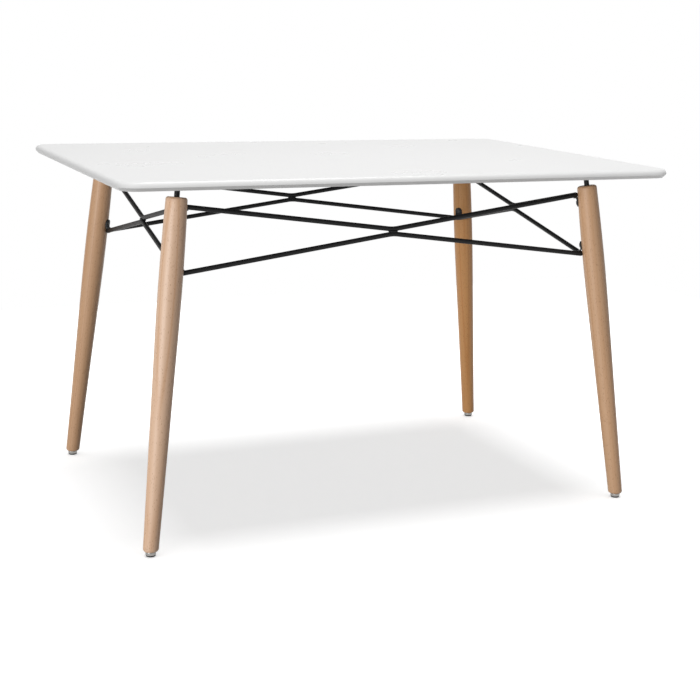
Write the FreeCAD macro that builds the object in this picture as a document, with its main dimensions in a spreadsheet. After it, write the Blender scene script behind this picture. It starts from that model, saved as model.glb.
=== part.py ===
import FreeCAD, Part
import math
import os

import Sketcher

# Dining table with a white board, four turned and splayed beech legs, and a frame of bent black
# rods. Each side of the frame is a V rod over an inverted V rod, welded together at mid span and
# carried at their ends by steel tabs that are bolted to the legs.
# Millimetres. The origin is on the floor under the middle of the table: +X runs along the long
# side, +Y to the back and +Z up.

doc = FreeCAD.newDocument("dining_table")

# Driving dimensions. An inset is measured from the edge of the top, or from the axis of the leg.
DRIVING = {
    # The board
    "top_length": 1200,
    "top_width": 850,
    "table_height": 745,
    "top_thickness": 18,
    "top_corner_radius": 40,
    "crown_radius": 9,
    "under_bevel": 7,
    # The legs: where their axes meet the floor and the head, and the turned profile. The belly,
    # the widest place, is measured down the axis from the head
    "foot_inset_end": 59,
    "foot_inset_side": 55,
    "head_inset_end": 140.3,
    "head_inset_side": 120.2,
    "head_drop": 25,
    "foot_diameter": 31,
    "belly_diameter": 47.2,
    "belly_drop": 174,
    "head_diameter": 42.6,
    "head_edge_radius": 5.5,
    "foot_edge_radius": 6,
    # The glides under the feet
    "glide_height": 9.5,
    "glide_diameter": 21.2,
    "cap_band": 5.7,
    "cap_wall": 0.8,
    "pad_edge_radius": 1.6,
    "nail_diameter": 3,
    "nail_length": 20,
    # The stems and their mounting plates
    "stem_diameter": 11,
    "stem_depth": 60,
    "plate_length": 70,
    "plate_width": 50,
    "plate_thickness": 3,
    "plate_corner_radius": 6,
    "screw_margin": 10,
    "screw_diameter": 4,
    "screw_head_diameter": 8,
    "screw_head_height": 2.2,
    "screw_length": 15,
    "screw_point": 3,
    # The rods. The drops are those of the rod centres below the face of the table: where the
    # high and the low rods reach the legs, and midway between the two rods at mid span
    "rod_diameter": 10,
    "rod_bend_radius": 80,
    "rod_high_drop": 64,
    "rod_low_drop": 192,
    "rod_mid_drop": 127,
    "rod_mid_spacing": 10.8,
    "long_frame_inset": 9,
    "short_frame_inset": 20,
    "rod_end_gap": 1.7,
    "mid_weld_length": 18,
    "mid_weld_width": 11,
    "corner_weld_diameter": 11.5,
    # The tabs with their bolts and threaded inserts
    "tab_width": 16.5,
    "tab_thickness": 2.5,
    "tab_bend_radius": 3,
    "tab_lip": 3,
    "tab_drop": 13.5,
    "tab_saddle": 1,
    "tab_bite": 0.8,
    "bolt_diameter": 6,
    "bolt_length": 15,
    "bolt_head_diameter": 10.5,
    "bolt_head_height": 2,
    "socket_width": 4,
    "socket_depth": 1.4,
    "insert_diameter": 9.5,
    "insert_length": 13,
    # Clearances and overruns
    "fit_clearance": 0.1,
    "hole_clearance": 0.4,
    "overrun": 5,
}

# Places and sizes that follow from the driving dimensions. A station is measured along the axis
# of a leg from the floor.
FOLLOWING = {
    "underside": "dims.table_height - dims.top_thickness",
    "foot_x": "dims.top_length / 2 - dims.foot_inset_end",
    "foot_y": "dims.top_width / 2 - dims.foot_inset_side",
    "head_x": "dims.top_length / 2 - dims.head_inset_end",
    "head_y": "dims.top_width / 2 - dims.head_inset_side",
    "head_height": "underside - dims.head_drop",
    "lean_x": "foot_x - head_x",
    "lean_y": "foot_y - head_y",
    "slope_x": "lean_x / head_height",
    "slope_y": "lean_y / head_height",
    "tilt_x": "atan(slope_x)",
    "tilt_y": "atan(slope_y)",
    "splay": "atan(sqrt(slope_x ^ 2 + slope_y ^ 2))",
    "leg_length": "head_height / cos(splay)",
    "belly_station": "leg_length - dims.belly_drop",
    # The belly is one arc from the head down to where the straight taper meets it in a tangent
    "head_rise": "leg_length - dims.head_edge_radius - belly_station",
    "belly_sink": "(dims.belly_diameter - dims.head_diameter) / 2",
    "belly_arc": "(head_rise ^ 2 + belly_sink ^ 2) / (2 * belly_sink)",
    "belly_centre": "dims.belly_diameter / 2 - belly_arc",
    "foot_reach": "dims.foot_diameter / 2 - belly_centre",
    "foot_distance": "sqrt(foot_reach ^ 2 + belly_station ^ 2)",
    "taper_turn": "atan2(-belly_station; foot_reach) + acos(belly_arc / foot_distance)",
    "taper_radius": "belly_centre + belly_arc * cos(taper_turn)",
    "taper_station": "belly_station + belly_arc * sin(taper_turn)",
    # The rods at the legs, high for the V rods and low for the inverted ones
    "rod_radius": "dims.rod_diameter / 2",
    "high_end": "dims.table_height - dims.rod_high_drop",
    "low_end": "dims.table_height - dims.rod_low_drop",
    "middle": "dims.table_height - dims.rod_mid_drop",
    "high_offset": "high_end / cos(splay) - belly_station",
    "low_offset": "low_end / cos(splay) - belly_station",
    "high_radius": "belly_centre + sqrt(belly_arc ^ 2 - high_offset ^ 2)",
    "low_radius": "belly_centre + sqrt(belly_arc ^ 2 - low_offset ^ 2)",
    "axis_high_x": "foot_x - slope_x * high_end",
    "axis_high_y": "foot_y - slope_y * high_end",
    "axis_low_x": "foot_x - slope_x * low_end",
    "axis_low_y": "foot_y - slope_y * low_end",
    "long_high_end": "axis_high_x - high_radius - dims.rod_end_gap",
    "long_low_end": "axis_low_x - low_radius - dims.rod_end_gap",
    "side_miss": "dims.short_frame_inset - rod_radius",
    "short_high_end": "axis_high_y - sqrt(high_radius ^ 2 - side_miss ^ 2) - dims.rod_end_gap",
    "short_low_end": "axis_low_y - sqrt(low_radius ^ 2 - side_miss ^ 2) - dims.rod_end_gap",
    "long_frame_y": "foot_y - slope_y * middle - dims.long_frame_inset",
    "short_frame_x": "foot_x - slope_x * middle - dims.short_frame_inset",
    "high_rise": "high_end - middle",
    "low_fall": "middle - low_end",
    # The stations of the rod ends, of the tab lips that meet them, and of the tab bolts
    "high_joint": "(high_end + high_radius * sin(splay)) / cos(splay)",
    "low_joint": "(low_end + low_radius * sin(splay)) / cos(splay)",
    "high_lip": "high_joint - rod_radius + dims.tab_bite",
    "low_lip": "low_joint + rod_radius",
    "high_bolt": "high_lip - dims.tab_drop",
    "low_bolt": "low_lip + dims.tab_drop",
}

CORNERS = (
    ("front_left", -1, -1),
    ("front_right", 1, -1),
    ("back_left", -1, 1),
    ("back_right", 1, 1),
)
SIDES = (("front", 0), ("right", 90), ("back", 180), ("left", 270))


def fill_sheets():
    """Write the driving dimensions into one sheet and what follows from them into another."""
    dims = doc.addObject("Spreadsheet::Sheet", "dims")
    for row, (alias, size) in enumerate(DRIVING.items(), start=1):
        dims.set(f"A{row}", alias.replace("_", " "))
        dims.set(f"B{row}", str(size))
        dims.setAlias(f"B{row}", alias)
    places = doc.addObject("Spreadsheet::Sheet", "places")
    for row, (alias, formula) in enumerate(FOLLOWING.items(), start=1):
        places.set(f"A{row}", alias.replace("_", " "))
        places.set(f"B{row}", "=" + formula)
        places.setAlias(f"B{row}", alias)
    doc.recompute()
    return dims


dims = fill_sheets()


def size(expression):
    """The present value of an expression, in millimetres or degrees."""
    found = dims.evalExpression(expression)
    return float(getattr(found, "Value", found))


def bind(thing, **links):
    """Bind properties to expressions; two underlines in a name stand for a full stop."""
    for name, expression in links.items():
        thing.setExpression(name.replace("__", "."), expression)


def new_body(label, placement=None):
    body = doc.addObject("PartDesign::Body", label)
    body.Label = label
    if placement:
        bind(body, Placement=placement)
    return body


def new_sketch(body, plane, name, offset=None):
    """An empty sketch on one of the body's own origin planes."""
    sketch = body.newObject("Sketcher::SketchObject", name)
    support = [item for item in body.Origin.OriginFeatures if item.Role == plane][0]
    sketch.AttachmentSupport = [(support, "")]
    sketch.MapMode = "FlatFace"
    if offset:
        bind(sketch, AttachmentOffset=offset)
    return sketch


def constrain(sketch, name, expression, *where):
    """Add a dimension to a sketch and bind it to an expression."""
    index = sketch.addConstraint(Sketcher.Constraint(*where, size(expression)))
    sketch.renameConstraint(index, name)
    sketch.setExpression(f"Constraints.{name}", expression)


def pin(sketch, name, geometry, point, across, up):
    """Hold one point of a sketch at a place measured from the sketch's origin."""
    constrain(sketch, f"{name}_across", across, "DistanceX", -1, 1, geometry, point)
    constrain(sketch, f"{name}_up", up, "DistanceY", -1, 1, geometry, point)


def arc_between(start, end, radius, turn):
    """The arc of a given radius from start to end; turn is 1 to the left and -1 to the right."""
    chord = end - start
    rise = math.sqrt(max(radius ** 2 - (chord.Length / 2) ** 2, 0))
    sideways = FreeCAD.Vector(-chord.y, chord.x, 0).normalize()
    centre = (start + end) * 0.5 + sideways * rise * turn
    from_angle = math.atan2(start.y - centre.y, start.x - centre.x)
    to_angle = math.atan2(end.y - centre.y, end.x - centre.x)
    circle = Part.Circle(centre, FreeCAD.Vector(0, 0, 1), radius)
    if turn < 0:
        from_angle, to_angle = to_angle, from_angle
    return Part.ArcOfCircle(circle, from_angle, to_angle)


def draw_outline(sketch, corners, closed=True):
    """Draw lines and arcs through corners and pin every corner.

    A corner is (across, up) with a line to the next one, or (across, up, radius, turn) with an
    arc to it. All but the turn are expressions.
    """
    spots = [FreeCAD.Vector(size(corner[0]), size(corner[1]), 0) for corner in corners]
    count = len(corners) if closed else len(corners) - 1
    ends = []
    for index in range(count):
        start, end = spots[index], spots[(index + 1) % len(spots)]
        corner = corners[index]
        if len(corner) == 2:
            sketch.addGeometry(Part.LineSegment(start, end))
            ends.append((1, 2))
            continue
        radius, turn = corner[2], corner[3]
        sketch.addGeometry(arc_between(start, end, size(radius), turn))
        ends.append((1, 2) if turn > 0 else (2, 1))
        constrain(sketch, f"radius_{index}", radius, "Radius", index)
    for index in range(count if closed else count - 1):
        follower = (index + 1) % count
        sketch.addConstraint(
            Sketcher.Constraint("Coincident", index, ends[index][1], follower, ends[follower][0])
        )
    for index in range(count):
        pin(sketch, f"corner_{index}", index, ends[index][0], corners[index][0], corners[index][1])
    if not closed:
        pin(sketch, "last", count - 1, ends[-1][1], corners[-1][0], corners[-1][1])


def draw_circle(sketch, name, diameter, across="0", up="0"):
    """Draw a circle with its diameter and its centre bound to expressions."""
    centre = FreeCAD.Vector(size(across), size(up), 0)
    circle = Part.Circle(centre, FreeCAD.Vector(0, 0, 1), size(diameter) / 2)
    index = sketch.addGeometry(circle)
    constrain(sketch, f"{name}_diameter", diameter, "Diameter", index)
    pin(sketch, name, index, 3, across, up)


def pad(body, sketch, name, length):
    feature = body.newObject("PartDesign::Pad", name)
    feature.Profile = sketch
    bind(feature, Length=length)
    return feature


def pocket(body, sketch, name, length=None, both_ways=False):
    """Cut the sketch into the body against the sketch's normal, or right through it."""
    feature = body.newObject("PartDesign::Pocket", name)
    feature.Profile = sketch
    if length:
        bind(feature, Length=length)
    else:
        feature.Type = "ThroughAll"
    feature.Midplane = both_ways
    return feature


def revolve(body, sketch, name):
    """Turn a sketch once round its own upright axis."""
    feature = body.newObject("PartDesign::Revolution", name)
    feature.Profile = sketch
    feature.ReferenceAxis = (sketch, ["V_Axis"])
    feature.Angle = 360
    return feature


def round_edges(body, base, kind, name, wanted, **links):
    """Fillet or chamfer the edges of the base feature that the test wants."""
    doc.recompute()
    edges = base.Shape.Edges
    names = [f"Edge{number}" for number, edge in enumerate(edges, start=1) if wanted(edge)]
    feature = body.newObject(f"PartDesign::{kind}", name)
    feature.Base = (base, names)
    bind(feature, **links)
    return feature


def compound(label, items):
    group = doc.addObject("Part::Compound", label)
    group.Label = label
    group.Links = items
    return group


def cut(label, base, tools):
    """Cut one solid by others, so that it seats on them face to face."""
    tool = tools[0] if len(tools) == 1 else compound(f"{label}_tools", tools)
    feature = doc.addObject("Part::Cut", label)
    feature.Label = label
    feature.Base = base
    feature.Tool = tool
    return feature


def leg_frame(sign_x, sign_y):
    """Place a piece in the frame of a leg: origin on the floor, Z up the axis, X inwards."""
    yaw = f"atan2({-sign_y} * places.lean_y; {-sign_x} * places.lean_x)"
    foot = f"vector({sign_x} * places.foot_x; {sign_y} * places.foot_y; 0)"
    return f"placement({foot}; rotation({yaw}; places.splay; 0))"


def side_frame(yaw, along_x):
    """Place a piece in the plane of one side of the rod frame: origin at mid span, X along."""
    distance, tilt = ("long_frame_y", "tilt_y") if along_x else ("short_frame_x", "tilt_x")
    middle = f"vector(sin({yaw}) * places.{distance}; -cos({yaw}) * places.{distance}"
    return f"placement({middle}; places.middle); rotation({yaw}; 0; -places.{tilt}))"


def level_offset(height):
    """A level plane through the axis of a leaning piece, at a height above the floor."""
    lift = f"({height}) / cos(places.splay)"
    return f"placement(vector(0; 0; {lift}); rotation(0; -places.splay; 0))"


# The board: padded from its rounded outline, then crowned above and bevelled below
def rounded_rectangle(length, width, radius):
    """Corners of a rounded rectangle about the origin, as expressions."""
    corners = []
    for sign_x, sign_y in ((1, -1), (1, 1), (-1, 1), (-1, -1)):
        side = (f"{sign_x} * {length} / 2", f"{sign_y} * ({width} / 2 - {radius})")
        end = (f"{sign_x} * ({length} / 2 - {radius})", f"{sign_y} * {width} / 2")
        first, second = (side, end) if sign_x == sign_y else (end, side)
        corners += [(*first, radius, 1), second]
    return corners


def make_board():
    body = new_body("tabletop_board")
    bind(body, Placement__Base__z="places.underside")
    sketch = new_sketch(body, "XY_Plane", "board_outline")
    draw_outline(sketch, rounded_rectangle("dims.top_length", "dims.top_width", "dims.top_corner_radius"))
    block = pad(body, sketch, "board_block", "dims.top_thickness")

    def at_height(feature, height):
        level = size(height)
        return lambda edge: all(
            math.isclose(vertex.Z, level, abs_tol=edge.Length * 1e-6) for vertex in edge.Vertexes
        )

    crown = round_edges(
        body, block, "Fillet", "board_crown", at_height(block, "dims.top_thickness"),
        Radius="dims.crown_radius",
    )
    round_edges(
        body, crown, "Chamfer", "board_bevel", at_height(crown, "0"),
        Size="dims.under_bevel",
    )
    return body


# The legs: one turned profile, sawn level at the foot, bored for the stem, nail and inserts
def make_leg(corner, frame):
    body = new_body(f"leg_{corner}", frame)
    profile = new_sketch(body, "XZ_Plane", "leg_profile")
    head_flat = "dims.head_diameter / 2 - dims.head_edge_radius"
    draw_outline(profile, [
        ("0", "0"),
        ("dims.foot_diameter / 2", "0"),
        ("places.taper_radius", "places.taper_station", "places.belly_arc", 1),
        ("dims.head_diameter / 2", "places.leg_length - dims.head_edge_radius",
         "dims.head_edge_radius", 1),
        (head_flat, "places.leg_length"),
        ("0", "places.leg_length"),
    ])
    revolve(body, profile, "leg_turning")

    level = level_offset("dims.glide_height")
    sole = new_sketch(body, "XY_Plane", "foot_cut", level)
    draw_circle(sole, "saw", "2 * dims.foot_diameter")
    sawn = pocket(body, sole, "foot_sawn")
    edge_room = size("dims.foot_diameter")
    lowest = size("dims.glide_height")

    def round_the_sole(edge):
        heights = [body.Placement.multVec(vertex.Point).z for vertex in edge.Vertexes]
        return all(math.isclose(height, lowest, abs_tol=edge_room * 1e-4) for height in heights)

    round_edges(
        body, sawn, "Fillet", "foot_rounding", round_the_sole, Radius="dims.foot_edge_radius"
    )

    nail = new_sketch(body, "XY_Plane", "nail_hole", level)
    draw_circle(nail, "hole", "dims.nail_diameter")
    drilled = pocket(body, nail, "nail_bore", "dims.nail_length")
    drilled.Reversed = True

    bore = new_sketch(
        body, "XY_Plane", "stem_hole", "placement(vector(0; 0; places.leg_length); rotation(0; 0; 0))"
    )
    draw_circle(bore, "hole", "dims.stem_diameter + dims.fit_clearance")
    pocket(body, bore, "stem_bore", "dims.stem_depth")

    for level_name in ("high", "low"):
        mouth = f"places.{level_name}_radius + dims.overrun"
        side = new_sketch(
            body, "YZ_Plane", f"{level_name}_insert_hole",
            f"placement(vector(0; 0; {mouth}); rotation(0; 0; 0))",
        )
        draw_circle(side, "hole", "dims.insert_diameter", "0", f"places.{level_name}_bolt")
        depth = "dims.overrun + dims.tab_saddle + dims.insert_length"
        pocket(body, side, f"{level_name}_insert_bore", depth)
    return body


# The glides: a nickel cap with its nail, and a plastic pad held in the cap
def glide_frame(sign_x, sign_y):
    """Place a level glide where the axis of the leg meets the level foot."""
    x = f"{sign_x} * (places.foot_x - places.slope_x * dims.glide_height)"
    y = f"{sign_y} * (places.foot_y - places.slope_y * dims.glide_height)"
    return f"placement(vector({x}; {y}; 0); rotation(0; 0; 0))"


def make_glide_cap(corner, frame):
    body = new_body(f"glide_cap_{corner}", frame)
    sketch = new_sketch(body, "XZ_Plane", "cap_profile")
    outer = "dims.glide_diameter / 2"
    rim = "dims.glide_height - dims.cap_band"
    roof = "dims.glide_height - dims.cap_wall"
    nail_top = "dims.glide_height + dims.nail_length - dims.nail_diameter"
    draw_outline(sketch, [
        ("0", roof),
        (f"{outer} - dims.cap_wall", roof),
        (f"{outer} - dims.cap_wall", rim),
        (outer, rim),
        (outer, "dims.glide_height - dims.cap_wall", "dims.cap_wall", 1),
        (f"{outer} - dims.cap_wall", "dims.glide_height"),
        ("dims.nail_diameter / 2", "dims.glide_height"),
        ("dims.nail_diameter / 2", nail_top),
        ("0", "dims.glide_height + dims.nail_length"),
    ])
    revolve(body, sketch, "cap_pressing")
    return body


def make_glide_pad(corner, frame):
    body = new_body(f"glide_pad_{corner}", frame)
    sketch = new_sketch(body, "XZ_Plane", "pad_profile")
    outer = "dims.glide_diameter / 2 - dims.cap_wall"
    draw_outline(sketch, [
        ("0", "0"),
        (f"{outer} - dims.pad_edge_radius", "0", "dims.pad_edge_radius", 1),
        (outer, "dims.pad_edge_radius"),
        (outer, "dims.glide_height - dims.cap_wall"),
        ("0", "dims.glide_height - dims.cap_wall"),
    ])
    revolve(body, sketch, "pad_moulding")
    return body


# The stems and plates: a steel pin along the axis of each leg, cut level under its plate
def make_stem(corner, frame):
    body = new_body(f"stem_{corner}", frame)
    start = "places.leg_length - dims.stem_depth"
    sketch = new_sketch(
        body, "XY_Plane", "stem_section", f"placement(vector(0; 0; {start}); rotation(0; 0; 0))"
    )
    draw_circle(sketch, "stem", "dims.stem_diameter")
    reach = "dims.head_drop / cos(places.splay) + dims.stem_depth + dims.stem_diameter"
    pad(body, sketch, "stem_bar", reach)
    level = level_offset("places.underside - dims.plate_thickness")
    top = new_sketch(body, "XY_Plane", "stem_cut", level)
    draw_circle(top, "saw", "4 * dims.stem_diameter")
    pocket(body, top, "stem_sawn").Reversed = True
    return body


def plate_centre(sign_x, sign_y, height):
    """Where the axis of a leg meets a level plane under the board."""
    x = f"{sign_x} * (places.foot_x - places.slope_x * ({height}))"
    y = f"{sign_y} * (places.foot_y - places.slope_y * ({height}))"
    return x, y


def make_plate(corner, sign_x, sign_y):
    """The plate and its four screws, which share one frame on the underside of the board."""
    lower = "places.underside - dims.plate_thickness"
    x, y = plate_centre(sign_x, sign_y, lower)
    body = new_body(f"plate_{corner}", f"placement(vector({x}; {y}; {lower}); rotation(0; 0; 0))")
    outline = new_sketch(body, "XY_Plane", "plate_outline")
    draw_outline(
        outline, rounded_rectangle("dims.plate_length", "dims.plate_width", "dims.plate_corner_radius")
    )
    pad(body, outline, "plate_blank", "dims.plate_thickness")

    screws = []
    reach_x = "(dims.plate_length / 2 - dims.screw_margin)"
    reach_y = "(dims.plate_width / 2 - dims.screw_margin)"
    for number, (along, across) in enumerate(((-1, -1), (1, -1), (1, 1), (-1, 1)), start=1):
        spot = f"vector({x} + {along} * {reach_x}; {y} + {across} * {reach_y}; {lower})"
        screw = new_body(f"plate_screw_{corner}_{number}", f"placement({spot}; rotation(0; 0; 0))")
        profile = new_sketch(screw, "XZ_Plane", "screw_profile")
        draw_outline(profile, [
            ("0", "0"),
            ("dims.screw_head_diameter / 2", "0"),
            ("dims.screw_diameter / 2", "dims.screw_head_height"),
            ("dims.screw_diameter / 2", "dims.screw_length - dims.screw_point"),
            ("0", "dims.screw_length"),
        ])
        revolve(screw, profile, "screw_turning")
        screws.append(screw)
    plate = cut(f"mounting_plate_{corner}", body, screws)
    return plate, compound(f"plate_screws_{corner}", screws)


# The rods: half a bent rod swept along a line and an arc, then mirrored at mid span
def tangent_corner(centre_up, radius, end, upwards):
    """Where the straight leg of a bent rod meets its bend, for a bend centred over mid span."""
    across, up = size(end[0]), size(end[1]) - centre_up
    distance = math.hypot(across, up)
    turn = math.atan2(up, across) - upwards * math.acos(radius / distance)
    return radius * math.cos(turn), centre_up + radius * math.sin(turn)


def make_rod(label, frame, along_x, high):
    """A V rod that opens upwards when it is high, and an inverted one when it is low."""
    upwards = 1 if high else -1
    level, rise, tilt = ("high", "high_rise", "") if high else ("low", "low_fall", "-")
    span, lean = ("long", "tilt_y") if along_x else ("short", "tilt_x")
    body = new_body(label, frame)
    apex = f"{upwards} * dims.rod_mid_spacing / 2"
    end = (f"places.{span}_{level}_end", f"{tilt}places.{rise} / cos(places.{lean})")
    bend_up = f"{apex} + {upwards} * dims.rod_bend_radius"

    path = new_sketch(body, "XZ_Plane", "rod_path")
    centre = FreeCAD.Vector(0, size(bend_up), 0)
    radius = size("dims.rod_bend_radius")
    meet = FreeCAD.Vector(*tangent_corner(centre.y, radius, end, upwards), 0)
    tip = FreeCAD.Vector(size(end[0]), size(end[1]), 0)
    start = FreeCAD.Vector(0, size(apex), 0)
    path.addGeometry(arc_between(start, meet, radius, upwards))
    path.addGeometry(Part.LineSegment(meet, tip))
    first, last = (1, 2) if high else (2, 1)
    pin(path, "apex", 0, first, "0", apex)
    pin(path, "bend", 0, 3, "0", bend_up)
    path.addConstraint(Sketcher.Constraint("Tangent", 0, last, 1, 1))
    pin(path, "tip", 1, 2, *end)

    section = new_sketch(body, "YZ_Plane", "rod_section")
    draw_circle(section, "rod", "dims.rod_diameter", "0", apex)
    sweep = body.newObject("PartDesign::AdditivePipe", "rod_sweep")
    sweep.Profile = section
    sweep.Spine = (path, ["Edge1", "Edge2"])
    doc.recompute()
    mirror = body.newObject("PartDesign::Mirrored", "rod_mirror")
    mirror.Originals = [sweep]
    middle = [item for item in body.Origin.OriginFeatures if item.Role == "YZ_Plane"][0]
    mirror.MirrorPlane = (middle, [""])
    body.Tip = mirror
    return body


def make_mid_weld(side, frame, rods):
    """The bead that fills the gap between the two rods at mid span."""
    bead = doc.addObject("Part::Ellipsoid", f"mid_bead_{side}")
    bind(
        bead, Placement=frame, Radius1="dims.rod_mid_spacing / 2",
        Radius2="dims.mid_weld_length / 2", Radius3="dims.mid_weld_width / 2",
    )
    return cut(f"mid_weld_{side}", bead, rods)


# The tabs: a strip that lies on the leg, curves away from it and ends in a lip at the rods
def make_tab(corner, frame, level, seats):
    """The tip of the tab points down at the high rods and up at the low ones."""
    away = -1 if level == "high" else 1
    body = new_body(f"tab_blank_{level}_{corner}", frame)
    skin = f"places.{level}_radius"
    lip = f"places.{level}_lip"
    bend = "(dims.tab_bend_radius + dims.tab_thickness)"
    reach = f"{skin} + {bend} + dims.tab_lip"
    tip = f"places.{level}_bolt + {away} * dims.tab_width / 2"
    side = new_sketch(body, "XZ_Plane", "tab_side")
    draw_outline(side, [
        (f"{skin} - dims.tab_saddle", tip),
        (f"{skin} - dims.tab_saddle", f"{lip} + {away} * {bend}"),
        (skin, f"{lip} + {away} * {bend}", bend, away),
        (f"{skin} + {bend}", lip),
        (reach, lip),
        (reach, f"{lip} + {away} * dims.tab_thickness"),
        (f"{skin} + {bend}", f"{lip} + {away} * dims.tab_thickness", "dims.tab_bend_radius", -away),
        (f"{skin} + dims.tab_thickness", f"{lip} + {away} * {bend}"),
        (f"{skin} + dims.tab_thickness", tip),
    ])
    pad(body, side, "tab_strip", "dims.tab_width").Midplane = True

    half = "dims.tab_width / 2"
    wide = f"({half} + dims.overrun)"
    bolt = f"places.{level}_bolt"
    past = f"{tip} + {away} * dims.overrun"
    ends = new_sketch(body, "YZ_Plane", "tab_end")
    draw_outline(ends, [
        (half, bolt, half, away),
        ("0", tip, half, away),
        (f"-{half}", bolt),
        (f"-{wide}", bolt),
        (f"-{wide}", past),
        (wide, past),
        (wide, bolt),
    ])
    pocket(body, ends, "tab_rounding", both_ways=True)

    hole = new_sketch(body, "YZ_Plane", "tab_hole")
    draw_circle(hole, "hole", "dims.bolt_diameter + dims.hole_clearance", "0", bolt)
    pocket(body, hole, "tab_drilling", both_ways=True)
    return cut(f"tab_{level}_{corner}", body, seats)


def make_corner_weld(corner, level, frame, seats):
    """The bead in the corner where the ends of two rods meet over the lip of a tab."""
    bead = doc.addObject("Part::Sphere", f"corner_bead_{level}_{corner}")
    radius = "dims.corner_weld_diameter / 2"
    out = f"places.{level}_radius + dims.hole_clearance + {radius}"
    spot = f"placement(vector({out}; 0; places.{level}_joint); rotation(0; 0; 0))"
    bind(bead, Radius=radius, Placement=f"{frame} * {spot}")
    return cut(f"corner_weld_{level}_{corner}", bead, seats)


# The fasteners of a tab: a button head bolt with a hexagon socket, and a threaded insert
def make_bolt(corner, level, frame):
    seat = f"places.{level}_radius + dims.tab_thickness"
    spot = f"placement(vector({seat}; 0; places.{level}_bolt); rotation(0; 90; 0))"
    body = new_body(f"tab_bolt_{level}_{corner}", f"{frame} * {spot}")
    profile = new_sketch(body, "XZ_Plane", "bolt_profile")
    head, face = "dims.bolt_head_diameter / 2", "dims.socket_width"
    crown = f"({head} ^ 2 - {face} ^ 2 + dims.bolt_head_height ^ 2) / (2 * dims.bolt_head_height)"
    dome = f"sqrt({face} ^ 2 + ({crown}) ^ 2)"
    draw_outline(profile, [
        ("0", "-dims.bolt_length"),
        ("dims.bolt_diameter / 2", "-dims.bolt_length"),
        ("dims.bolt_diameter / 2", "0"),
        (head, "0", dome, 1),
        (face, "dims.bolt_head_height"),
        ("0", "dims.bolt_head_height"),
    ])
    revolve(body, profile, "bolt_turning")
    top = new_sketch(
        body, "XY_Plane", "socket_outline",
        "placement(vector(0; 0; dims.bolt_head_height); rotation(0; 0; 0))",
    )
    flat = "dims.socket_width / sqrt(3)"
    draw_outline(top, [(f"{flat} * cos({60 * k})", f"{flat} * sin({60 * k})") for k in range(6)])
    pocket(body, top, "socket", "dims.socket_depth")
    return body


def make_insert(corner, level, frame):
    seat = f"places.{level}_radius - dims.tab_saddle - dims.insert_length"
    spot = f"placement(vector({seat}; 0; places.{level}_bolt); rotation(0; 90; 0))"
    body = new_body(f"tab_insert_{level}_{corner}", f"{frame} * {spot}")
    ring = new_sketch(body, "XY_Plane", "insert_ring")
    draw_circle(ring, "outer", "dims.insert_diameter")
    draw_circle(ring, "inner", "dims.bolt_diameter + dims.fit_clearance")
    pad(body, ring, "insert_sleeve", "dims.insert_length")
    return body


nodes = []
rods = {}
for side, yaw in SIDES:
    runs_along_x = side in ("front", "back")
    place = side_frame(yaw, runs_along_x)
    pair = [
        make_rod(f"rod_v_{side}", place, runs_along_x, True),
        make_rod(f"rod_inverted_v_{side}", place, runs_along_x, False),
    ]
    rods["high", side], rods["low", side] = pair
    nodes += pair + [make_mid_weld(side, place, pair)]

all_screws = []
for corner, sign_x, sign_y in CORNERS:
    place = leg_frame(sign_x, sign_y)
    level_place = glide_frame(sign_x, sign_y)
    leg = make_leg(corner, place)
    plate, screws = make_plate(corner, sign_x, sign_y)
    all_screws.append(screws)
    nodes += [leg, plate, screws, make_stem(corner, place)]
    nodes += [make_glide_cap(corner, level_place), make_glide_pad(corner, level_place)]

    fasteners = {"bolt": [], "insert": []}
    beads = []
    front_or_back, left_or_right = corner.split("_")
    for level in ("high", "low"):
        ends = [rods[level, front_or_back], rods[level, left_or_right]]
        tab = make_tab(corner, place, level, [leg] + ends)
        nodes.append(tab)
        beads.append(make_corner_weld(corner, level, place, ends + [tab]))
        fasteners["bolt"].append(make_bolt(corner, level, place))
        fasteners["insert"].append(make_insert(corner, level, place))
    nodes.append(compound(f"corner_welds_{corner}", beads))
    nodes.append(compound(f"tab_bolts_{corner}", fasteners["bolt"]))
    nodes.append(compound(f"tab_inserts_{corner}", fasteners["insert"]))

nodes.append(cut("tabletop", make_board(), [compound("all_plate_screws", all_screws)]))
doc.recompute()

for item in doc.Objects:
    if "Invalid" in item.State or "Error" in item.State:
        raise RuntimeError(f"{item.Label} failed: {item.State}")
for node in nodes:
    if node.Shape.isNull() or not node.Shape.isValid() or not node.Shape.Solids:
        raise RuntimeError(f"{node.Label} has no valid solid")

os.makedirs("parts", exist_ok=True)
for node in nodes:
    node.Shape.exportStep(f"parts/{node.Label}.step")
    print(node.Label, len(node.Shape.Solids), "solids", round(node.Shape.Volume), "mm3")
print(len(nodes), "nodes")
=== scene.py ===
# %% [markdown]
# # A dining table with turned legs and a frame of crossed rods
# The table is a white lacquered board on four turned and splayed beech legs. Black rods, bent
# once and crossed at mid span, tie the legs together. The solid model of every piece is already
# there, packed as one file, so this lesson loads it, gives each piece the finish of the real one,
# and makes anew the rods, the welds and the screws, whose small forms the solid model leaves plain.
#
# All lengths are in metres. The origin is on the floor under the middle of the table, +X runs
# along the long side, +Y to the back and +Z up.

import math

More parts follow.
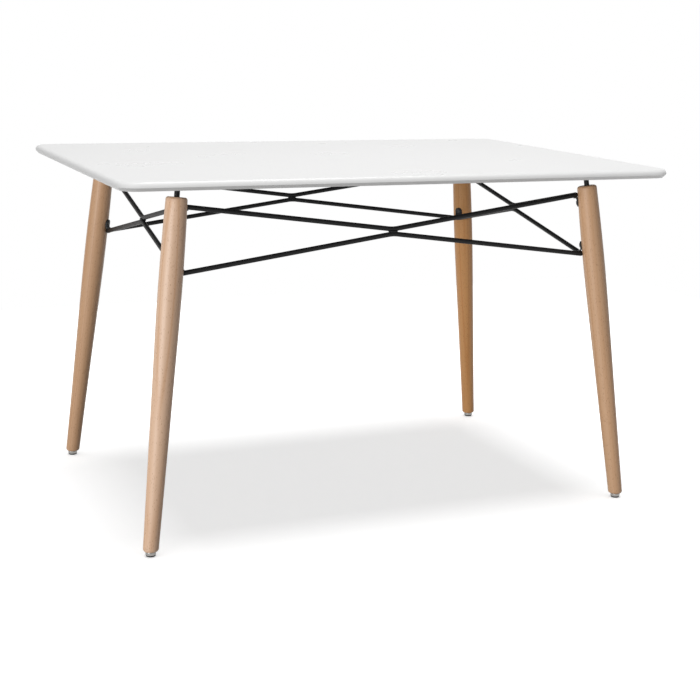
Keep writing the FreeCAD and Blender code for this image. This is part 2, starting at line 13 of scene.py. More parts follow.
import bmesh
import bpy
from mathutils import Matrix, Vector


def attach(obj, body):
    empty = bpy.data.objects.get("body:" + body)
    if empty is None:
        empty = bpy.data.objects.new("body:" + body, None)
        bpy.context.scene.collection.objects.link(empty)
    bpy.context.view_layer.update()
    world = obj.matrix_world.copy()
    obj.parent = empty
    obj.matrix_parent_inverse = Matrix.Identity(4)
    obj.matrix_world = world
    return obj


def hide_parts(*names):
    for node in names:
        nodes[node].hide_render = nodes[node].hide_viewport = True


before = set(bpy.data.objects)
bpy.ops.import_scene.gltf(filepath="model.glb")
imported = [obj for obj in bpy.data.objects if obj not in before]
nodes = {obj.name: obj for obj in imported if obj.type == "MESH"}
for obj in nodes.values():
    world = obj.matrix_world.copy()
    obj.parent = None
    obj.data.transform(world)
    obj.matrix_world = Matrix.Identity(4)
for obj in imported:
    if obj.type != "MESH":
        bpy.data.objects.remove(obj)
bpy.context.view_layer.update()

# %% [markdown]
# ## Small helpers
# A colour is easiest to read as the hex value that a screen shows, but light is reckoned in linear
# values, so one function turns the first into the second. The next adds a node to a tree: it
# writes the node's settings, and for each socket either writes a value or draws a link, so that a
# material reads as a list of what feeds what. The last starts a material in the coordinates of the
# object, so that a pattern stays fixed to the piece that wears it.


# %% Colours and nodes
def linear(hex_colour):
    """The linear RGBA values of an sRGB hex colour such as "#C8A283"."""
    values = [int(hex_colour[place:place + 2], 16) / 255 for place in (1, 3, 5)]
    return [((v + 0.055) / 1.055) ** 2.4 if v > 0.04045 else v / 12.92 for v in values] + [1]


def add_node(tree, kind, settings, sockets):
    """Add a node; a socket is given a value, or another node's output to link to."""
    node = tree.nodes.new(kind)
    for name, value in settings.items():
        setattr(node, name, value)
    for name, value in sockets.items():
        if isinstance(value, bpy.types.NodeSocket):
            tree.links.new(value, node.inputs[name])
        else:
            node.inputs[name].default_value = value
    return node


def start_material(name):
    """A new material, its empty tree and the coordinates of the object that wears it."""
    material = bpy.data.materials.new(name)
    material.use_nodes = True
    material.node_tree.nodes.clear()
    place = add_node(material.node_tree, "ShaderNodeTexCoord", {}, {})
    return material, material.node_tree, place.outputs["Object"]


print("mid grey #808080 is", round(linear("#808080")[0], 4), "in linear light")

# %% [markdown]
# ## The camera
# The photograph was taken with a long lens from in front and to the left of the table, a little
# above the height of the top. The place and the turn of the camera were solved from the edges of
# the board, the axes of the legs, the feet and the rods, and the small shift holds the framing.

# %% Camera
PHOTO_PIXELS = 700
CAMERA_PLACE = (-1.2162, -3.0072, 1.0347)
CAMERA_TURN = (76.236, -1.229, -23.594)
FOCAL_PIXELS = 1439.4
CENTRE_PIXELS = (381.8, 376.4)

lens = bpy.data.cameras.new("photograph_lens")
lens.sensor_width = 36
lens.lens = FOCAL_PIXELS / PHOTO_PIXELS * lens.sensor_width
lens.shift_x = (PHOTO_PIXELS / 2 - CENTRE_PIXELS[0]) / PHOTO_PIXELS
lens.shift_y = (CENTRE_PIXELS[1] - PHOTO_PIXELS / 2) / PHOTO_PIXELS
camera = bpy.data.objects.new("photograph_camera", lens)
camera.location = CAMERA_PLACE
camera.rotation_euler = [math.radians(angle) for angle in CAMERA_TURN]
bpy.context.scene.collection.objects.link(camera)
bpy.context.scene.camera = camera
print("lens", round(lens.lens, 1), "mm, shift", round(lens.shift_x, 3), round(lens.shift_y, 3))

# %% [markdown]
# ## Floor and surroundings
# The photograph has a white ground with one soft grey shadow under the table. A floor that is only
# white paint would need very strong lamps to read as white, and they would burn out the board. So
# the floor is a sheet of plain paint for the light that lands on it, and where the camera or a
# mirror looks at it, a part of its brightness is its own. The shadow stays, because the other part
# is still lit.

# %% Floor
FLOOR_HALF = 2.2
GROUND_PAINT = "#949494"
SEEN_PAINT = 0.80
SEEN_GLOW = 0.63


def rays_that_see(tree):
    """1 where the camera looks, straight or by way of a mirror or a glass, and 0 for light."""
    path = add_node(tree, "ShaderNodeLightPath", {}, {})
    straight_or_mirror = add_node(tree, "ShaderNodeMath", {"operation": "MAXIMUM"}, {
        0: path.outputs["Is Camera Ray"],
        1: path.outputs["Is Glossy Ray"],
    })
    any_way = add_node(tree, "ShaderNodeMath", {"operation": "MAXIMUM"}, {
        0: straight_or_mirror.outputs[0],
        1: path.outputs["Is Transmission Ray"],
    })
    return any_way.outputs[0]


ground = bpy.data.materials.new("matt_white_studio_floor")
ground.use_nodes = True
tree = ground.node_tree
tree.nodes.clear()
paint = add_node(tree, "ShaderNodeBsdfDiffuse", {}, {"Color": linear(GROUND_PAINT)})
seen_paint = add_node(tree, "ShaderNodeBsdfDiffuse", {}, {"Color": [SEEN_PAINT] * 3 + [1]})
glow = add_node(tree, "ShaderNodeEmission", {}, {
    "Color": [1, 1, 1, 1],
    "Strength": SEEN_GLOW,
})
both = add_node(tree, "ShaderNodeAddShader", {}, {0: seen_paint.outputs[0], 1: glow.outputs[0]})
choice = add_node(tree, "ShaderNodeMixShader", {}, {
    0: rays_that_see(tree),
    1: paint.outputs[0],
    2: both.outputs[0],
})
add_node(tree, "ShaderNodeOutputMaterial", {}, {"Surface": choice.outputs[0]})

floor_mesh = bpy.data.meshes.new("studio_floor")
floor_mesh.from_pydata(
    [(-FLOOR_HALF, -FLOOR_HALF, 0), (FLOOR_HALF, -FLOOR_HALF, 0),
     (FLOOR_HALF, FLOOR_HALF, 0), (-FLOOR_HALF, FLOOR_HALF, 0)], [], [(0, 1, 2, 3)])
floor_mesh.materials.append(ground)
floor = bpy.data.objects.new("studio_floor", floor_mesh)
bpy.context.scene.collection.objects.link(floor)
print("floor", 2 * FLOOR_HALF, "m wide")

# %% [markdown]
# The world follows the same rule. Where it is looked at, it is white, so the edge of the floor
# sheet isn't seen. For the light that lands on the table it is a weak even glow, which keeps the
# shaded sides from going black.

# %% World
AMBIENT = 0.20

world = bpy.data.worlds.new("white_studio")
world.use_nodes = True
tree = world.node_tree
tree.nodes.clear()
strength = add_node(tree, "ShaderNodeMapRange", {}, {
    "Value": rays_that_see(tree),
    "To Min": AMBIENT,
    "To Max": 1.0,
})
air = add_node(tree, "ShaderNodeBackground", {}, {
    "Color": [1, 1, 1, 1],
    "Strength": strength.outputs[0],
})
add_node(tree, "ShaderNodeOutputWorld", {}, {"Surface": air.outputs[0]})
bpy.context.scene.world = world
bpy.context.scene.view_settings.view_transform = "Standard"
print("ambient light", AMBIENT)

# %% [markdown]
# ## Beech
# The legs are turned from solid beech and sprayed with a satin lacquer. Beech is pale and even: its
# growth rings show as long faint lines, its pores as a fine brown fleck that is short along the
# grain, and its colour drifts a little from piece to piece. The lacquer fills the pores, so the
# surface is smooth with a soft sheen. Because each leg leans another way, each gets its own
# material: a Mapping node lays the pattern along that leg's axis. Each leg also has its own tone,
# which is partly that drift and partly painted shade: a leg that gets less light is given a darker
# tone. The darker parts of the figure are tints that multiply the tone of the leg, as stain in
# clear wood would.
#
# The named numbers say where the heart of the stem lies beside the leg, how wide and how wavy its
# rings are, how little they change lengthwise, how wide, long and deep a pore is, and between
# which bounds the roughness drifts. The two last ones describe the clear coat, which the board's
# lacquer shares.

# %% Beech material
FOOT = (0.541, 0.370, 0.0)
HEAD = (0.4597, 0.3048, 0.702)
HEART = (0.055, 0.031, 0.0)
RING_WIDTH = 0.0032
RING_SWAY = 0.010
SWAY_WIDTH = 0.025
LENGTHWISE_SHARE = 0.012
DRIFT_SCALES = (60.0, 60.0, 3.0)
PORE_WIDTH = 0.0006
PORE_LENGTH = 0.0036
PORE_DEPTH = 0.0002
BEECH_ROUGHNESS = (0.36, 0.48)
COAT_IOR = 1.5
LACQUER_SPECULAR = 0.4
DRIFT_TINT = "#F4E9DE"
RING_TINT = "#F5EDE4"
FLECK_TINT = "#AE9379"
# Each leg's tone is partly the wood's own drift and partly painted shade: it is set to how light or
# dark that leg shows, so a leg that gets less light has a darker tone.
LEG_TONES_AND_PAINTED_SHADE = {
    "front_left": "#D5B69C",
    "front_right": "#CCA785",
    "back_left": "#BF9B7A",
    "back_right": "#CA9660",
}


def leg_axis(corner):
    """The foot and the head of a leg's axis."""
    side = Vector((-1 if "left" in corner else 1, -1 if "front" in corner else 1, 1))
    return Vector(FOOT) * side, Vector(HEAD) * side


def make_beech(corner):
    """Satin lacquered beech whose grain runs up one leg."""
    material, tree, place = start_material(f"satin_lacquered_turned_beech_{corner}")
    foot, head = leg_axis(corner)
    grain = add_node(tree, "ShaderNodeMapping", {"vector_type": "TEXTURE"}, {
        "Vector": place,
        "Location": foot,
        "Rotation": (head - foot).to_track_quat("Z", "X").to_euler(),
    })

    # Growth rings: circles round a heart that lies beside the leg, bent by a slow noise
    heart = add_node(tree, "ShaderNodeVectorMath", {"operation": "ADD"}, {
        0: grain.outputs[0],
        1: HEART,
    })
    flatten = add_node(tree, "ShaderNodeVectorMath", {"operation": "MULTIPLY"}, {
        0: heart.outputs[0],
        1: (1.0, 1.0, LENGTHWISE_SHARE),
    })
    sway = add_node(tree, "ShaderNodeTexNoise", {}, {
        "Vector": flatten.outputs[0],
        "Scale": 1 / SWAY_WIDTH,
        "Detail": 2.0,
    })
    distance = add_node(tree, "ShaderNodeVectorMath", {"operation": "LENGTH"}, {
        0: flatten.outputs[0],
    })
    wobble = add_node(tree, "ShaderNodeMath", {"operation": "MULTIPLY_ADD"}, {
        0: sway.outputs["Fac"],
        1: RING_SWAY,
        2: distance.outputs["Value"],
    })
    rings = add_node(tree, "ShaderNodeTexNoise", {"noise_dimensions": "1D"}, {
        "W": wobble.outputs[0],
        "Scale": 1 / RING_WIDTH,
        "Detail": 1.0,
    })

    # Slow drift of colour along the grain
    long_way = add_node(tree, "ShaderNodeVectorMath", {"operation": "MULTIPLY"}, {
        0: grain.outputs[0],
        1: DRIFT_SCALES,
    })
    drift = add_node(tree, "ShaderNodeTexNoise", {}, {
        "Vector": long_way.outputs[0],
        "Scale": 1.0,
        "Detail": 4.0,
    })

    # Fleck: many small stretched cells, of which only the cores of some are dark
    squeeze = add_node(tree, "ShaderNodeVectorMath", {"operation": "MULTIPLY"}, {
        0: grain.outputs[0],
        1: (1 / PORE_WIDTH / 2, 1 / PORE_WIDTH / 2, 1 / PORE_LENGTH / 2),
    })
    cells = add_node(tree, "ShaderNodeTexVoronoi", {}, {
        "Vector": squeeze.outputs[0],
        "Scale": 1.0,
        "Randomness": 1.0,
    })
    core = add_node(tree, "ShaderNodeMapRange", {}, {
        "Value": cells.outputs["Distance"],
        "From Min": 0.12,
        "From Max": 0.34,
        "To Min": 1.0,
        "To Max": 0.0,
    })
    pick = add_node(tree, "ShaderNodeSeparateColor", {}, {"Color": cells.outputs["Color"]})
    some = add_node(tree, "ShaderNodeMapRange", {}, {
        "Value": pick.outputs[0],
        "From Min": 0.45,
        "From Max": 0.9,
    })
    fleck = add_node(tree, "ShaderNodeMath", {"operation": "MULTIPLY"}, {
        0: core.outputs[0],
        1: some.outputs[0],
    })

    # Colour: the tone of this leg, part wood and part painted shade, tinted by the drift, the rings
    # and the fleck
    ring_share = add_node(tree, "ShaderNodeMapRange", {}, {
        "Value": rings.outputs["Fac"],
        "From Min": 0.48,
        "From Max": 0.78,
    })
    tint = {"data_type": "RGBA", "blend_type": "MULTIPLY"}
    drifted = add_node(tree, "ShaderNodeMix", tint, {
        0: drift.outputs["Fac"],
        6: linear(LEG_TONES_AND_PAINTED_SHADE[corner]),
        7: linear(DRIFT_TINT),
    })
    ringed = add_node(tree, "ShaderNodeMix", tint, {
        0: ring_share.outputs[0],
        6: drifted.outputs[2],
        7: linear(RING_TINT),
    })
    flecked = add_node(tree, "ShaderNodeMix", tint, {
        0: fleck.outputs[0],
        6: ringed.outputs[2],
        7: linear(FLECK_TINT),
    })

    # Lacquer: satin, its gloss drifting a little, with the pores just felt through the film
    sheen = add_node(tree, "ShaderNodeMapRange", {}, {
        "Value": drift.outputs["Fac"],
        "To Min": BEECH_ROUGHNESS[0],
        "To Max": BEECH_ROUGHNESS[1],
    })
    relief = add_node(tree, "ShaderNodeBump", {"invert": True}, {
        "Height": fleck.outputs[0],
        "Strength": 0.35,
        "Distance": PORE_DEPTH,
    })
    surface = add_node(tree, "ShaderNodeBsdfPrincipled", {}, {
        "Base Color": flecked.outputs[2],
        "Roughness": sheen.outputs[0],
        "Normal": relief.outputs[0],
        "IOR": COAT_IOR,
        "Specular IOR Level": LACQUER_SPECULAR,
    })
    add_node(tree, "ShaderNodeOutputMaterial", {}, {"Surface": surface.outputs[0]})
    return material


beech = {corner: make_beech(corner) for corner in LEG_TONES_AND_PAINTED_SHADE}
print("beech made for", ", ".join(beech))

# %% [markdown]
# ## White lacquer
# The board is sprayed with a white lacquer of low gloss. What tells lacquer from plastic is the
# orange peel that spraying leaves: shallow waves a few millimetres wide that break up reflections.
# A fine noise also varies the gloss by a few percent, as handling does.

# %% White lacquer
PEEL_WIDTH = 0.0035
HANDLING_WIDTH = 1 / 7
BOARD_ROUGHNESS = (0.24, 0.34)
BOARD_TINTS = ("#EFEFEE", "#F2F2F2")

white, tree, place = start_material("satin_white_sprayed_lacquer")
peel = add_node(tree, "ShaderNodeTexNoise", {}, {
    "Vector": place,
    "Scale": 1 / PEEL_WIDTH,
    "Detail": 1.0,
})
waves = add_node(tree, "ShaderNodeBump", {}, {
    "Height": peel.outputs["Fac"],
    "Strength": 0.25,
    "Distance": 0.0001,
})
handling = add_node(tree, "ShaderNodeTexNoise", {}, {
    "Vector": place,
    "Scale": 1 / HANDLING_WIDTH,
    "Detail": 5.0,
})
gloss = add_node(tree, "ShaderNodeMapRange", {}, {
    "Value": handling.outputs["Fac"],
    "To Min": BOARD_ROUGHNESS[0],
    "To Max": BOARD_ROUGHNESS[1],
})
tint = add_node(tree, "ShaderNodeMix", {"data_type": "RGBA"}, {
    0: handling.outputs["Fac"],
    6: linear(BOARD_TINTS[0]),
    7: linear(BOARD_TINTS[1]),
})
surface = add_node(tree, "ShaderNodeBsdfPrincipled", {}, {
    "Base Color": tint.outputs[2],
    "Roughness": gloss.outputs[0],
    "Normal": waves.outputs[0],
    "IOR": COAT_IOR,
    "Specular IOR Level": LACQUER_SPECULAR,
})
add_node(tree, "ShaderNodeOutputMaterial", {}, {"Surface": surface.outputs[0]})
print("made", white.name)

# %% [markdown]
# ## Black powder coat
# Rods, tabs, plates and stems are mild steel with a black powder coat. The powder melts into a
# film with a fine even texture about a millimetre wide, satin and not glossy, so a rod shows one
# broad soft highlight along its length.

# %% Black powder coat
POWDER_GRAIN = 0.0011
POWDER_ROUGHNESS = (0.42, 0.58)
POWDER_TINTS = ("#0A0A0B", "#121213")

powder, tree, place = start_material("satin_black_powder_coated_steel")
grain = add_node(tree, "ShaderNodeTexNoise", {}, {
    "Vector": place,
    "Scale": 1 / POWDER_GRAIN,
    "Detail": 2.0,
})
texture = add_node(tree, "ShaderNodeBump", {}, {
    "Height": grain.outputs["Fac"],
    "Strength": 0.4,
    "Distance": 0.0001,
})
patches = add_node(tree, "ShaderNodeTexNoise", {}, {
    "Vector": place,
    "Scale": 45.0,
    "Detail": 3.0,
})
gloss = add_node(tree, "ShaderNodeMapRange", {}, {
    "Value": patches.outputs["Fac"],
    "To Min": POWDER_ROUGHNESS[0],
    "To Max": POWDER_ROUGHNESS[1],
})
shade = add_node(tree, "ShaderNodeMix", {"data_type": "RGBA"}, {
    0: patches.outputs["Fac"],
    6: linear(POWDER_TINTS[0]),
    7: linear(POWDER_TINTS[1]),
})
surface = add_node(tree, "ShaderNodeBsdfPrincipled", {}, {
    "Base Color": shade.outputs[2],
    "Roughness": gloss.outputs[0],
    "Normal": texture.outputs[0],
    "IOR": COAT_IOR,
    "Specular IOR Level": 0.2,
})
add_node(tree, "ShaderNodeOutputMaterial", {}, {"Surface": surface.outputs[0]})
print("made", powder.name)

# %% [markdown]
# ## Small metals and the plastic pad
# The glide caps are deep drawn and nickel plated, the plate screws are zinc plated, the inserts
# are turned brass, the tab bolts are chemically blackened, and the pads are moulded plastic. They
# share one recipe, so it is a loop over a table. A row has two tints, how metallic the finish is,
# its least and its greatest roughness, and the width of its fine marks in metres.

# %% Small metals and plastic
FINISHES = {
    "bright_nickel_plated_steel": ("#A5A3A0", "#868481", 1.0, 0.18, 0.32, 0.0016),
    "bright_zinc_plated_steel": ("#B9BCC0", "#9DA0A3", 1.0, 0.28, 0.45, 0.0012),
    "turned_brass": ("#C9A55C", "#AD8743", 1.0, 0.22, 0.38, 0.0010),
    "chemically_blackened_steel": ("#141415", "#202021", 0.0, 0.34, 0.48, 0.0009),
    "moulded_black_polyethylene": ("#0E0E0F", "#161617", 0.0, 0.50, 0.66, 0.0013),
}
small = {}
for name, (first, second, metal, smooth, rough, mark) in FINISHES.items():
    material, tree, place = start_material(name)
    marks = add_node(tree, "ShaderNodeTexNoise", {}, {
        "Vector": place,
        "Scale": 1 / mark,
        "Detail": 3.0,
    })
    gloss = add_node(tree, "ShaderNodeMapRange", {}, {
        "Value": marks.outputs["Fac"],
        "To Min": smooth,
        "To Max": rough,
    })
    shade = add_node(tree, "ShaderNodeMix", {"data_type": "RGBA"}, {
        0: marks.outputs["Fac"],
        6: linear(first),
        7: linear(second),
    })
    relief = add_node(tree, "ShaderNodeBump", {}, {
        "Height": marks.outputs["Fac"],
        "Strength": 0.25,
        "Distance": 0.00005,
    })
    surface = add_node(tree, "ShaderNodeBsdfPrincipled", {}, {
        "Base Color": shade.outputs[2],
        "Metallic": metal,
        "Roughness": gloss.outputs[0],
        "Normal": relief.outputs[0],
    })
    add_node(tree, "ShaderNodeOutputMaterial", {}, {"Surface": surface.outputs[0]})
    small[name] = material
print("made", ", ".join(small))

# %% [markdown]
# ## Give every solid its finish
# A node's name begins with what it is, so its finish follows from the name. A leg takes the beech
# of its own corner.

# %% Finishes on the solids
BY_NAME = {
    "tabletop": white,
    "rod_": powder,
    "mid_weld": powder,
    "corner_welds": powder,
    "tab_high": powder,
    "tab_low": powder,
    "stem": powder,
    "mounting_plate": powder,
    "tab_bolts": small["chemically_blackened_steel"],
    "tab_inserts": small["turned_brass"],
    "plate_screws": small["bright_zinc_plated_steel"],
    "glide_cap": small["bright_nickel_plated_steel"],
    "glide_pad": small["moulded_black_polyethylene"],
}


def finish_for(name):
    """The material of a node, from the start of its name."""
    if name.startswith("leg_"):
        return beech[name[len("leg_"):]]
    return next(material for start, material in BY_NAME.items() if name.startswith(start))


for name, node in nodes.items():
    node.data.materials.clear()
    node.data.materials.append(finish_for(name))
print("finished", len(nodes), "solids")

# %% [markdown]
# ## Geometry that grows on a path
# The rods and the welds both follow a path, and the screws repeat one shape, so all three grow
# from a few points and edges through a small node tree of their own. Three helpers serve them: one
# starts a tree with a named input for each size, one ends it in plain geometry with its material
# on, and one runs it on a path and keeps the result as a plain mesh.


# %% Helpers for trees that make geometry
def start_tree(name, sizes):
    """A tree with geometry going in and out, and a named input of a given kind for each size."""
    tree = bpy.data.node_groups.new(name, "GeometryNodeTree")
    tree.interface.new_socket("Geometry", in_out="INPUT", socket_type="NodeSocketGeometry")
    tree.interface.new_socket("Geometry", in_out="OUTPUT", socket_type="NodeSocketGeometry")
    for label, kind in sizes.items():
        tree.interface.new_socket(label, in_out="INPUT", socket_type=kind)
    return tree, add_node(tree, "NodeGroupInput", {}, {}).outputs


def end_tree(tree, geometry, finish):
    """End a tree in real faces that carry their material."""
    real = add_node(tree, "GeometryNodeRealizeInstances", {}, {"Geometry": geometry})
    dressed = add_node(tree, "GeometryNodeSetMaterial", {}, {
        "Geometry": real.outputs[0],
        "Material": finish,
    })
    add_node(tree, "NodeGroupOutput", {}, {"Geometry": dressed.outputs[0]})


def grow(name, tree, points, edges, sizes):
    """Run a tree on a path of points and edges, and keep what it makes as a plain mesh."""
    start = bpy.data.meshes.new(f"{name}_path")
    start.from_pydata(points, edges, [])
    piece = bpy.data.objects.new(name, start)
    bpy.context.scene.collection.objects.link(piece)
    modifier = piece.modifiers.new(name, "NODES")
    modifier.node_group = tree
    for socket in tree.interface.items_tree:
        if socket.name in sizes:
            modifier[socket.identifier] = sizes[socket.name]
    seen_now = bpy.context.evaluated_depsgraph_get()
    mesh = bpy.data.meshes.new_from_object(piece.evaluated_get(seen_now))
    piece.modifiers.remove(modifier)
    piece.data = mesh
    mesh.name = name
    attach(piece, "root")
    print(name, len(mesh.polygons), "faces")
    return piece


print("helpers ready")

# %% [markdown]
# ## The bent rods
# Each rod is a cold drawn bar, cut to length and bent once over a former at its middle. It could
# be drawn as a curve by hand, but its shape follows a rule: two straight runs and one arc of known
# radius. So the path is only three points, the two ends and the corner that the straight runs would
# meet in, and the tree rounds that corner and sweeps the round section along it. The ends and the
# middle are measured on the solid rods, so the new ones lie exactly where the old ones were.

# %% Paths of the rods
ROD_THICKNESS = 0.010
ROD_BEND = 0.080
END_REACH = 0.003
CLOSE = 1e-6


def ring_centre(spots):
    """The middle of a ring of points."""
    return Vector([(min(axis) + max(axis)) / 2 for axis in zip(*spots)])


def rod_path(name):
    """The two ends and the sharp corner of a rod's centre line, measured on its solid."""
    along = 0 if name.endswith(("front", "back")) else 1
    spots = [vertex.co for vertex in nodes[name].data.vertices]
    reach = max(spot[along] for spot in spots) - END_REACH
    first = ring_centre([spot for spot in spots if spot[along] < -reach])
    last = ring_centre([spot for spot in spots if spot[along] > reach])
    middle = ring_centre([spot for spot in spots if abs(spot[along]) < CLOSE])
    rise = (first + last) / 2 - middle
    half_span = (last - first).length / 2
    # The bend rounds the corner off, so the corner lies beyond the middle of the bar, by a length
    # that depends on the slope, which in turn depends on it: a few rounds settle both
    beyond = 0.0
    for _ in range(5):
        slope = math.atan2(rise.length + beyond, half_span)
        beyond = ROD_BEND * (1 / math.cos(slope) - 1)
    return first, middle - rise.normalized() * beyond, last


rod_names = [name for name in nodes if name.startswith("rod_")]
rod_paths = {name: rod_path(name) for name in rod_names}
for name, (first, corner, last) in rod_paths.items():
    print(name, "from", first.to_tuple(4), "over", corner.to_tuple(4), "to", last.to_tuple(4))

# %% [markdown]
# In the tree, Fillet Curve rounds the corner, Curve to Mesh sweeps a circle and closes both ends,
# and edges that turn by more than forty degrees are kept sharp, so that the sawn ends stay crisp
# while the bar is smooth.

# %% Rods
CRISP_TURN = math.radians(40)

tree, sizes = start_tree("bent_rod", {
    "Thickness": "NodeSocketFloat",
    "Bend Radius": "NodeSocketFloat",
    "Sides": "NodeSocketInt",
    "Bend Steps": "NodeSocketInt",
})
bar = add_node(tree, "GeometryNodeMeshToCurve", {}, {"Mesh": sizes["Geometry"]})
bent = add_node(tree, "GeometryNodeFilletCurve", {"mode": "POLY"}, {
    "Curve": bar.outputs[0],
    "Count": sizes["Bend Steps"],
    "Radius": sizes["Bend Radius"],
})
half = add_node(tree, "ShaderNodeMath", {"operation": "MULTIPLY"}, {
    0: sizes["Thickness"],
    1: 0.5,
})
section = add_node(tree, "GeometryNodeCurvePrimitiveCircle", {"mode": "RADIUS"}, {
    "Resolution": sizes["Sides"],
    "Radius": half.outputs[0],
})
swept = add_node(tree, "GeometryNodeCurveToMesh", {}, {
    "Curve": bent.outputs[0],
    "Profile Curve": section.outputs[0],
    "Fill Caps": True,
})
turn = add_node(tree, "GeometryNodeInputMeshEdgeAngle", {}, {})
crisp = add_node(tree, "ShaderNodeMath", {"operation": "GREATER_THAN"}, {
    0: turn.outputs["Unsigned Angle"],
    1: CRISP_TURN,
})
smooth = add_node(tree, "GeometryNodeSetShadeSmooth", {"domain": "FACE"}, {
    "Geometry": swept.outputs[0],
    "Shade Smooth": True,
})
edged = add_node(tree, "GeometryNodeSetShadeSmooth", {"domain": "EDGE"}, {
    "Geometry": smooth.outputs[0],
    "Selection": crisp.outputs[0],
    "Shade Smooth": False,
})
end_tree(tree, edged.outputs[0], powder)

points = [spot for name in rod_names for spot in rod_paths[name]]
edges = [(first, first + 1) for first in range(len(points)) if first % 3 < 2]
rods = grow("bent_rods", tree, points, edges, {
    "Thickness": ROD_THICKNESS,
    "Bend Radius": ROD_BEND,
    "Sides": 32,
    "Bend Steps": 24,
})
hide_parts(*rod_names)

# %% [markdown]
# ## The welds
# A hand laid weld is a string of small overlapping pools, so its bead is ribbed across, a little
# uneven, and thinner where it starts and stops. Under the powder coat that ribbing stays visible.
# The bead follows a path as the rods do, but here the width of the sweep changes along the way: a
# ripple for the pools, a slow noise for the hand and a taper at both ends.

# %% The tree of a weld bead
STEPS_PER_POOL = 8.0
BEAD_SIDES = 14
HAND_SCALE = 0.8
UNEVEN_RANGE = (0.3, 1.0)
LEAST_WIDTH = 0.84
TAPER_SHARE = 0.22
END_WIDTH = 0.55

tree, sizes = start_tree("rippled_weld_bead", {
    "Bead Radius": "NodeSocketFloat",
    "Ripple Pitch": "NodeSocketFloat",
    "Ripple Depth": "NodeSocketFloat",
    "Seed": "NodeSocketFloat",
})
line = add_node(tree, "GeometryNodeMeshToCurve", {}, {"Mesh": sizes["Geometry"]})
step = add_node(tree, "ShaderNodeMath", {"operation": "DIVIDE"}, {
    0: sizes["Ripple Pitch"],
    1: STEPS_PER_POOL,
})
fine = add_node(tree, "GeometryNodeResampleCurve", {"mode": "LENGTH"}, {
    "Curve": line.outputs[0],
    "Length": step.outputs[0],
})
along = add_node(tree, "GeometryNodeSplineParameter", {}, {})
pools = add_node(tree, "ShaderNodeMath", {"operation": "DIVIDE"}, {
    0: along.outputs["Length"],
    1: sizes["Ripple Pitch"],
})
half_turns = add_node(tree, "ShaderNodeMath", {"operation": "MULTIPLY"}, {
    0: pools.outputs[0],
    1: math.pi,
})
wave = add_node(tree, "ShaderNodeMath", {"operation": "SINE"}, {0: half_turns.outputs[0]})
ribs = add_node(tree, "ShaderNodeMath", {"operation": "ABSOLUTE"}, {0: wave.outputs[0]})
hand = add_node(tree, "ShaderNodeMath", {"operation": "ADD"}, {
    0: pools.outputs[0],
    1: sizes["Seed"],
})
uneven = add_node(tree, "ShaderNodeTexNoise", {"noise_dimensions": "1D"}, {
    "W": hand.outputs[0],
    "Scale": HAND_SCALE,
})
ribbed = add_node(tree, "ShaderNodeMath", {"operation": "MULTIPLY_ADD"}, {
    0: ribs.outputs[0],
    1: sizes["Ripple Depth"],
    2: uneven.outputs["Fac"],
})
from_end = add_node(tree, "ShaderNodeMath", {"operation": "PINGPONG"}, {
    0: along.outputs["Factor"],
    1: 0.5,
})
taper = add_node(tree, "ShaderNodeMapRange", {"interpolation_type": "SMOOTHSTEP"}, {
    "Value": from_end.outputs[0],
    "From Max": TAPER_SHARE,
    "To Min": END_WIDTH,
    "To Max": 1.0,
})
uneven_width = add_node(tree, "ShaderNodeMapRange", {}, {
    "Value": ribbed.outputs[0],
    "From Min": UNEVEN_RANGE[0],
    "From Max": UNEVEN_RANGE[1],
    "To Min": LEAST_WIDTH,
    "To Max": 1.0,
})
tapered = add_node(tree, "ShaderNodeMath", {"operation": "MULTIPLY"}, {
    0: taper.outputs[0],
    1: uneven_width.outputs[0],
})
width = add_node(tree, "ShaderNodeMath", {"operation": "MULTIPLY"}, {
    0: tapered.outputs[0],
    1: sizes["Bead Radius"],
})
section = add_node(tree, "GeometryNodeCurvePrimitiveCircle", {"mode": "RADIUS"}, {
    "Resolution": BEAD_SIDES,
    "Radius": 1.0,
})
swept = add_node(tree, "GeometryNodeCurveToMesh", {}, {
    "Curve": fine.outputs[0],
    "Profile Curve": section.outputs[0],
    "Scale": width.outputs[0],
    "Fill Caps": True,
})
smooth = add_node(tree, "GeometryNodeSetShadeSmooth", {"domain": "FACE"}, {
    "Geometry": swept.outputs[0],
    "Shade Smooth": True,
})
end_tree(tree, smooth.outputs[0], powder)
weld_tree = tree
print("weld tree has", len(weld_tree.nodes), "nodes")

# %% [markdown]
# At mid span a V rod and an inverted V rod are welded to each other with one short bead in the
# groove on either face. The groove's middle lies halfway between the two rods, and the beads sit a
# few millimetres out from it, square to the plane of the rods.

# %% Welds at mid span
GROOVE_OUT = 0.0032
MID_BEAD_HALF = 0.0085
SIDES = ("front", "right", "back", "left")

points = []
for side in SIDES:
    upper_first, upper_corner, upper_last = rod_paths[f"rod_v_{side}"]
    lower_corner = rod_paths[f"rod_inverted_v_{side}"][1]
    run = (upper_last - upper_first).normalized()
    out = run.cross(upper_corner - lower_corner).normalized()
    middle = (upper_corner + lower_corner) / 2
    for face in (-1, 1):
        points += [middle + out * face * GROOVE_OUT + run * end * MID_BEAD_HALF for end in (-1, 1)]
edges = [(first, first + 1) for first in range(0, len(points), 2)]
mid_welds = grow("mid_span_welds", weld_tree, points, edges, {
    "Bead Radius": 0.0028,
    "Ripple Pitch": 0.0018,
    "Ripple Depth": 0.5,
    "Seed": 3.0,
})
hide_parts(*[f"mid_weld_{side}" for side in SIDES])

# %% [markdown]
# At each leg the ends of two rods meet over the lip of a tab, and one short thick bead fills the
# corner between them. Its path runs from the end of one rod to the end of the other, by way of the
# middle of the solid weld.

# %% Welds at the corners
WELD_HEIGHT = 0.02
CORNERS = [f"{end}_{side}" for end in ("front", "back") for side in ("left", "right")]

